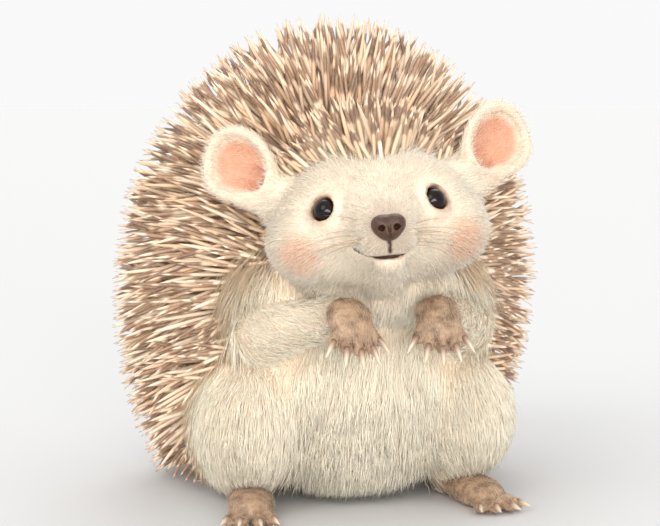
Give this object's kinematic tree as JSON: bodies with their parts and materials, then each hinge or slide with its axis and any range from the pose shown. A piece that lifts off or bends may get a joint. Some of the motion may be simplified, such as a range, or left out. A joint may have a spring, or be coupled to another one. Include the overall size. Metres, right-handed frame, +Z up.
{
  "type": "hedgehog",
  "caption": "Life-size four-toed hedgehog sitting upright on its haunches, quilled from brow to rump, furred in front, forepaws held up before its chest.",
  "frame": {"origin": "on the floor, at the middle of the flat that the animal sits on", "axes": "+Z up, the animal faces -Y, its left side is at +X"},
  "size_m": [0.1084, 0.1408, 0.1173],
  "materials": {
    "quills": "satin keratin, banded cream and brown",
    "fur": "soft cream fur",
    "pad": "bare grey-brown skin",
    "ear": "thin skin with a fine down",
    "nose": "moist dark skin",
    "eye": "wet gloss",
    "claw": "translucent horn"
  },
  "bodies": {
    "root": {"head": "fur", "jaw": "fur", "nose": "nose", "eye_left": "eye", "eye_right": "eye", "ear_left": "ear", "ear_right": "ear", "crown": "quills", "back": "quills", "throat": "fur", "belly": "fur", "tail": "fur", "foreleg_left": "fur", "foreleg_right": "fur", "thigh_left": "fur", "thigh_right": "fur", "forepaw_left": "pad", "forepaw_left_claw_1": "claw", "forepaw_left_claw_2": "claw", "forepaw_left_claw_3": "claw", "forepaw_left_claw_4": "claw", "forepaw_left_claw_5": "claw", "forepaw_right": "pad", "forepaw_right_claw_1": "claw", "forepaw_right_claw_2": "claw", "forepaw_right_claw_3": "claw", "forepaw_right_claw_4": "claw", "forepaw_right_claw_5": "claw", "hindfoot_left": "pad", "hindfoot_left_claw_1": "claw", "hindfoot_left_claw_2": "claw", "hindfoot_left_claw_3": "claw", "hindfoot_left_claw_4": "claw", "hindfoot_right": "pad", "hindfoot_right_claw_1": "claw", "hindfoot_right_claw_2": "claw", "hindfoot_right_claw_3": "claw", "hindfoot_right_claw_4": "claw"}
  },
  "joints": []
}
